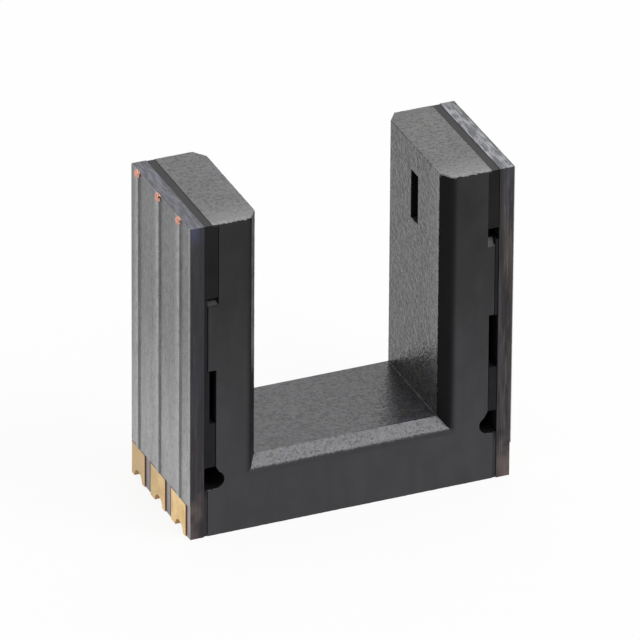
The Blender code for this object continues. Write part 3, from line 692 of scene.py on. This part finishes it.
def make_mask(prefix, side, made_of):
    """Solder mask with soft ridges that waver as the etched traces under it do."""
    low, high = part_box(f"{prefix}_mask")
    ridge = max(abs(low.x), abs(high.x))
    inner = min(abs(low.x), abs(high.x))
    flat = inner - FACE_GAP + MASK_THICKNESS
    groove = ridge - MASK_THICKNESS + FACE_GAP
    trace_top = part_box(f"{prefix}_terminal_front")[1].z
    steps = round((high.z - low.z) / RIDGE_STEP)
    mesh_data = bmesh.new()
    loops = []
    for index in range(steps + 1):
        height = low.z + (high.z - low.z) * index / steps
        section = mask_section(flat, ridge, inner, groove, height, trace_top)
        loops.append([mesh_data.verts.new((side * out, run, up)) for out, run, up in section])
    count = len(loops[0])
    for lower, upper in zip(loops, loops[1:]):
        for index in range(count):
            following = (index + 1) % count
            mesh_data.faces.new((lower[index], lower[following], upper[following], upper[index]))
    mesh_data.faces.new(loops[0])
    mesh_data.faces.new(loops[-1])
    bmesh.ops.recalc_face_normals(mesh_data, faces=mesh_data.faces)
    new_piece(f"{prefix}_mask_coat", mesh_data, (made_of,), f"{prefix}_mask")


def bare_face(finish):
    """Colour of the laminate between the pads: pale, with a painted shadow line behind each pad and
    painted shade ahead of it.
    """
    # Painted shadow behind each pad, and painted shade ahead of it.
    line = 0.0
    shade = 0.0
    for middle in TERMINAL_MIDDLES:
        behind = finish.math("SUBTRACT", finish.run, middle + PAD_SHIFT)
        start = finish.span(behind, 0.0, PAD_WIDTH / 2)
        line = finish.larger(line, finish.times(start, finish.span(behind, *PAD_SHADOW_LINE, 1.0, 0.0)))
        ahead = finish.math("SUBTRACT", 0.0, behind)
        start = finish.span(ahead, 0.0, PAD_WIDTH / 2)
        shade = finish.larger(shade, finish.times(start, finish.span(ahead, *PAD_SHADE, 0.6, 0.0)))
    return finish.mix(line, finish.mix(shade, BARE_LAMINATE, BARE_SHADE), BARE_SHADOW_LINE)


def laminate_material(name, face_tones, cut_tones, stray_glass, top_highlight_tone):
    """Glass-epoxy laminate, whose bundles of fibre show as streaks on the cut edges."""
    finish = Finish(name, 0.42, specular=0.35)
    level = finish.math("SUBTRACT", finish.out, BOARD_INNER)
    bundles = finish.clouds((0.080 * MM, 0.42 * MM, 1.3 * MM), detail=3.0, distortion=0.3)
    threads = finish.clouds((0.030 * MM, 0.25 * MM, 0.8 * MM), detail=3.0, distortion=0.3)
    stains = finish.clouds((0.16 * MM, 0.8 * MM, 1.6 * MM))
    upward = finish.span(finish.normal[2], 0.4, 0.8)
    bundle = finish.span(bundles, 0.40, 0.64)
    upright = finish.mix(bundle, *face_tones)
    upright = finish.mix(finish.span(stains, 0.52, 0.66, 0.0, 0.6), upright, BROWN_STAIN)
    upright = finish.mix(finish.span(stains, 0.46, 0.36, 0.0, 0.6), upright, BLUE_STAIN)
    base = finish.mix(upward, upright, finish.mix(bundle, *cut_tones))
    glass = finish.mix(upward, stray_glass, Vector(cut_tones[1]) * CUT_GLASS_GAIN)
    base = finish.mix(finish.span(threads, 0.60, 0.74), base, glass)
    base = laminate_front(finish, base, level, stains, top_highlight_tone)
    lines = finish.span(finish.math("PINGPONG", level, LAYER_HALF), 0.0, 0.012 * MM)
    base = finish.mix(lines, finish.mix(0.5, base, LAYER_LINE), base)
    inner = finish.times(finish.facing(0), finish.span(level, 0.0, 0.02 * MM, 1.0, 0.0))
    base = finish.mix(inner, base, INNER_FACE)
    outer = finish.times(finish.facing(0), finish.span(level, 0.3 * MM, 0.32 * MM))
    finish.colour(finish.mix(outer, base, bare_face(finish)))
    finish.roughness(finish.spread(bundles, 0.32, 0.52))
    finish.relief(finish.bump(threads, 0.006 * MM))
    return finish.material


def laminate_front(finish, base, level, stains, top_highlight_tone):
    """The base with a painted bluish highlight at the top, a paler pinkish tone toward the foot and
    painted shade along the inner side of the upright edges.
    """
    patches = finish.clouds(0.8 * MM)
    # Painted highlight: a bluish light along the top of the upright edges.
    top_highlight = finish.span(finish.height, TOP - 0.7 * MM, TOP, 0.0, 0.7)
    top_highlight = finish.times(top_highlight, finish.span(level, 0.05 * MM, 0.25 * MM, 0.3, 1.0))
    base = finish.mix(finish.times(top_highlight, finish.facing(1)), base, top_highlight_tone)
    # Paler pinkish tone toward the foot, in patches.
    foot = finish.span(finish.height, 0.4 * MM, 2.4 * MM, 0.60, 0.0)
    foot = finish.times(foot, finish.span(patches, 0.35, 0.6))
    base = finish.mix(foot, base, PALE_PINK_FOOT)
    # Painted shade along the inner side of the upright edges, broken by the stains.
    shaded = finish.span(level, 0.07 * MM, 0.20 * MM, 0.6, 0.0)
    shaded = finish.times(shaded, finish.span(stains, 0.36, 0.56, 0.4, 1.0))
    return finish.mix(finish.times(shaded, finish.facing(1)), base, INNER_SHADE)


def plated_material():
    """Soft gold over copper, with bare copper where the trace is cut at the top, painted shadow under
    the mask's edge and painted shade inside the board.
    """
    finish = Finish("plated_gold", 0.34, metallic=1.0)
    patches = finish.clouds(0.35 * MM, detail=3.0)
    fine = finish.clouds(0.04 * MM, detail=3.0)
    brushed = finish.clouds((0.3 * MM, 0.3 * MM, 0.03 * MM))
    gold = finish.mix(finish.spread(patches), *GOLD_TONES)
    back = finish.span(finish.run, -1.4 * MM, 1.7 * MM, 0.0, 0.75)
    gold = finish.mix(back, gold, BACK_GOLD)
    sideways = finish.span(finish.facing(0), 0.4, 0.8, 1.0, 0.0)
    base = finish.mix(sideways, gold, GOLD_EDGE)
    # Painted shade: the plating inside the board's inner face, above the foot, is painted nearly black.
    inside = finish.span(finish.out, BOARD_INNER - FACE_GAP, BOARD_INNER, 1.0, 0.0)
    above = finish.span(finish.height, 0.5 * MM, 0.7 * MM)
    base = finish.mix(finish.times(inside, above), base, GOLD_SHADED_INSIDE)
    # Painted shadow of the mask's edge along the top of the pads.
    mask_shadow = finish.span(finish.height, MASK_FOOT - 0.06 * MM, MASK_FOOT, 0.0, 0.7)
    base = finish.mix(finish.times(mask_shadow, finish.facing(0)), base, GOLD_IN_MASK_SHADOW)
    cut = finish.span(finish.height, TOP - 0.03 * MM, TOP - 0.01 * MM)
    finish.colour(finish.mix(cut, base, COPPER))
    finish.roughness(finish.spread(fine, 0.28, 0.46))
    lines = finish.bump(brushed, 0.0015 * MM)
    finish.relief(finish.bump(fine, 0.003 * MM, lines))
    return finish.material


def burr_material():
    """Bare copper, torn by the saw."""
    finish = Finish("sawn_copper", 0.38, metallic=1.0)
    torn = finish.clouds(0.03 * MM, detail=3.0)
    base = finish.mix(finish.span(torn, 0.35, 0.65), COPPER_DARK, COPPER)
    finish.colour(finish.mix(finish.span(torn, 0.58, 0.70), base, COPPER_BRIGHT))
    finish.roughness(finish.spread(torn, 0.30, 0.50))
    finish.relief(finish.bump(torn, 0.008 * MM))
    return finish.material


def make_burrs(prefix, side, made_of):
    """Smears of copper over the mask's top edge, one for each trace that is cut there."""
    low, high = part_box(f"{prefix}_mask")
    edge = side * max(abs(low.x), abs(high.x))
    mesh_data = bmesh.new()
    for middle in TERMINAL_MIDDLES:
        made = bmesh.ops.create_icosphere(mesh_data, subdivisions=BURR_SUBDIVISIONS, radius=1.0)
        own_place = Vector((0, middle / MM * BURR_SPREAD, 0))
        for vertex in made["verts"]:
            lumps = 1 + BURR_LUMPS * noise.noise(vertex.co * BURR_LUMP_RATE + own_place)
            spread = Vector([size * way * lumps for size, way in zip(BURR_SIZE, vertex.co)])
            vertex.co = Vector((edge, middle, TOP - BURR_DROP)) + spread
    name = f"{prefix}_copper_burrs"
    new_piece(name, mesh_data, (made_of,), None, BURR_SHARP_ANGLE)


def resin_material():
    """Dark optical resin, glossy where it was cast and lightly sawn at its ends."""
    finish = Finish("optical_resin_dark", 0.22, specular=0.15)
    patches = finish.clouds(0.7 * MM)
    sawn = finish.clouds((0.03 * MM, 0.9 * MM, 0.4 * MM))
    finish.colour(finish.mix(finish.spread(patches), (0.002, 0.002, 0.002), (0.006, 0.006, 0.006)))
    finish.roughness(finish.spread(sawn, 0.16, 0.30))
    finish.relief(finish.bump(sawn, 0.002 * MM))
    return finish.material


def adhesive_material():
    """Black adhesive, paler toward the foot, where the seam is open."""
    finish = Finish("black_adhesive", 0.5, specular=0.10)
    patches = finish.clouds(0.25 * MM, detail=3.0)
    tone = finish.mix(patches, (0.004, 0.004, 0.005), (0.020, 0.019, 0.022))
    foot = finish.span(finish.height, 1.0 * MM, 1.4 * MM, 0.7, 0.0)
    finish.colour(finish.mix(foot, tone, (0.050, 0.048, 0.052)))
    finish.roughness(finish.spread(patches, 0.4, 0.65))
    finish.relief(finish.bump(patches, 0.02 * MM))
    return finish.material


def chip_material(name, field, lines, pitch):
    """Polished chip with the fine pattern of its layers."""
    finish = Finish(name, 0.2, specular=0.6)
    borders = finish.cell_edges((pitch, pitch, 0.6 * pitch))
    patches = finish.clouds(0.2 * MM)
    base = finish.mix(finish.span(borders, 0.02, 0.08), lines, field)
    finish.colour(finish.mix(finish.span(patches, 0.4, 0.6, 0.0, 0.3), base, lines))
    finish.roughness(finish.spread(patches, 0.15, 0.3))
    finish.relief(finish.bump(borders, 0.002 * MM))
    return finish.material


def wire_material():
    """Drawn gold."""
    finish = Finish("bond_wire_gold", 0.25, metallic=1.0)
    drawn = finish.clouds((0.2 * MM, 0.2 * MM, 0.004 * MM))
    finish.colour(finish.mix(drawn, (0.80, 0.55, 0.18), (0.90, 0.68, 0.30)))
    finish.roughness(finish.spread(drawn, 0.18, 0.32))
    finish.relief(finish.bump(drawn, 0.0005 * MM))
    return finish.material


def dress(node, made_of):
    """Give a carried-over CAD node its detailed material."""
    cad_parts[node].material_slots[0].material = made_of


def laminate_materials():
    """A dark laminate for the emitter's board and a browner one for the detector's."""
    dark = laminate_material(
        "laminate_dark",
        face_tones=((0.011, 0.010, 0.013), (0.028, 0.026, 0.031)),
        cut_tones=((0.040, 0.040, 0.052), (0.150, 0.155, 0.190)),
        stray_glass=(0.046, 0.045, 0.054),
        top_highlight_tone=(0.048, 0.056, 0.115),
    )
    brown = laminate_material(
        "laminate_brown",
        face_tones=((0.007, 0.006, 0.006), (0.066, 0.058, 0.054)),
        cut_tones=((0.070, 0.070, 0.085), (0.340, 0.345, 0.360)),
        stray_glass=(0.105, 0.098, 0.096),
        top_highlight_tone=(0.030, 0.036, 0.050),
    )
    return {"emitter": dark, "detector": brown}


def chip_materials():
    """A pale emitting chip with coarse lines and a dark receiving one with fine lines."""
    emitting = chip_material(
        "emitter_die", field=(0.20, 0.15, 0.10), lines=(0.45, 0.36, 0.22), pitch=0.12 * MM
    )
    receiving = chip_material(
        "detector_die", field=(0.05, 0.06, 0.11), lines=(0.30, 0.30, 0.34), pitch=0.08 * MM
    )
    return {"emitter": emitting, "detector": receiving}


def make_sides():
    """Dress both arms' boards and what they carry."""
    mask = mask_material()
    laminates = laminate_materials()
    plated = plated_material()
    resin = resin_material()
    adhesive = adhesive_material()
    wire = wire_material()
    chips = chip_materials()
    make_burrs("emitter", SIDES["emitter"], burr_material())
    for prefix, side in SIDES.items():
        make_mask(prefix, side, mask)
        dress(f"{prefix}_board", laminates[prefix])
        dress(f"{prefix}_resin", resin)
        dress(f"{prefix}_bond", adhesive)
        dress(f"{prefix}_chip", chips[prefix])
        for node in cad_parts:
            if node.startswith(f"{prefix}_terminal"):
                dress(node, plated)
            if node.startswith(f"{prefix}_wire"):
                dress(node, wire)


def any_seen(tree, path):
    """1 for camera, glossy and transmission rays, and 0 for the others."""
    seen = path.outputs["Is Camera Ray"]
    for kind in ("Is Glossy Ray", "Is Transmission Ray"):
        either = tree.nodes.new("ShaderNodeMath")
        either.operation = "MAXIMUM"
        tree.links.new(seen, either.inputs[0])
        tree.links.new(path.outputs[kind], either.inputs[1])
        seen = either.outputs[0]
    return seen


def add_seen_white(tree, shadowed, white_kind, share, mirrored):
    """White for camera rays, and as bright as mirrored for glossy and transmission rays.

    That holds by a share. The other rays see the shader.
    """
    path = tree.nodes.new("ShaderNodeLightPath")
    scaled = tree.nodes.new("ShaderNodeMath")
    scaled.operation = "MULTIPLY"
    scaled.inputs[1].default_value = share
    tree.links.new(any_seen(tree, path), scaled.inputs[0])
    level = tree.nodes.new("ShaderNodeMapRange")
    level.inputs["To Min"].default_value = mirrored
    tree.links.new(path.outputs["Is Camera Ray"], level.inputs["Value"])
    white = tree.nodes.new(white_kind)
    white.inputs["Color"].default_value = WHITE
    tree.links.new(level.outputs["Result"], white.inputs["Strength"])
    mixed = tree.nodes.new("ShaderNodeMixShader")
    tree.links.new(scaled.outputs[0], mixed.inputs[0])
    tree.links.new(shadowed.outputs[0], mixed.inputs[1])
    tree.links.new(white.outputs[0], mixed.inputs[2])
    return mixed.outputs[0]


def make_floor():
    """Plain pale floor that keeps a soft shadow of the object."""
    mesh = bpy.data.meshes.new("floor")
    ways = ((-1, -1), (1, -1), (1, 1), (-1, 1))
    corners = [(across * FLOOR_REACH, run * FLOOR_REACH, 0) for across, run in ways]
    mesh.from_pydata(corners, [], [(0, 1, 2, 3)])
    floor = bpy.data.objects.new("floor", mesh)
    bpy.context.scene.collection.objects.link(floor)
    pale = bpy.data.materials.new("pale_floor")
    pale.use_nodes = True
    tree = pale.node_tree
    diffuse = tree.nodes.new("ShaderNodeBsdfDiffuse")
    diffuse.inputs["Color"].default_value = FLOOR_COLOUR
    mixed = add_seen_white(tree, diffuse, "ShaderNodeEmission", FLOOR_WHITE_SHARE, 1.0)
    tree.links.new(mixed, tree.nodes["Material Output"].inputs["Surface"])
    mesh.materials.append(pale)


def make_world():
    """Soft even light, which the camera sees as white."""
    world = bpy.data.worlds.new("studio")
    world.use_nodes = True
    tree = world.node_tree
    soft = tree.nodes["Background"]
    soft.inputs["Color"].default_value = WHITE
    soft.inputs["Strength"].default_value = WORLD_STRENGTH
    mixed = add_seen_white(tree, soft, "ShaderNodeBackground", 1.0, WORLD_MIRRORED)
    tree.links.new(mixed, tree.nodes["World Output"].inputs["Surface"])
    bpy.context.scene.world = world


def make_lamp(name, direction, distance, size, watts):
    """Square lamp that shines on the object from a direction."""
    lamp = bpy.data.lights.new(name, "AREA")
    lamp.shape = "SQUARE"
    lamp.size = size
    lamp.energy = watts
    holder = bpy.data.objects.new(name, lamp)
    heading = Vector(direction).normalized()
    holder.location = CAMERA_TARGET + heading * distance
    holder.rotation_mode = "QUATERNION"
    holder.rotation_quaternion = heading.to_track_quat("Z", "Y")
    bpy.context.scene.collection.objects.link(holder)


def make_camera():
    azimuth = math.radians(CAMERA_AZIMUTH)
    elevation = math.radians(CAMERA_ELEVATION)
    roll = math.radians(CAMERA_ROLL)
    level = math.cos(elevation)
    back = Vector((math.sin(azimuth) * level, -math.cos(azimuth) * level, math.sin(elevation)))
    sideways = Vector((math.cos(azimuth), math.sin(azimuth), 0))
    upward = back.cross(sideways)
    right = math.cos(roll) * sideways + math.sin(roll) * upward
    up = math.cos(roll) * upward - math.sin(roll) * sideways
    data = bpy.data.cameras.new("camera")
    data.sensor_width = SENSOR_WIDTH
    data.lens = SENSOR_WIDTH * PIXELS_PER_MM * (CAMERA_DISTANCE / MM) / IMAGE_SIDE
    data.shift_x = -CENTRE_RIGHT / IMAGE_SIDE
    data.shift_y = CENTRE_DOWN / IMAGE_SIDE
    data.clip_start, data.clip_end = CLIP_RANGE
    camera = bpy.data.objects.new("camera", data)
    turned = Matrix((right, up, back)).transposed().to_4x4()
    camera.matrix_world = Matrix.Translation(CAMERA_TARGET + back * CAMERA_DISTANCE) @ turned
    bpy.context.scene.collection.objects.link(camera)
    bpy.context.scene.camera = camera


def make_scene():
    make_camera()
    make_world()
    make_floor()
    make_lamp("softbox", direction=(0.33, -0.47, 0.82), distance=0.26, size=0.15, watts=0.32)
    make_lamp("back_light", direction=(0.35, 0.81, 0.48), distance=0.30, size=0.22, watts=0.13)
    make_housing()
    make_sides()
    bpy.context.scene.view_settings.view_transform = "Standard"


make_scene()
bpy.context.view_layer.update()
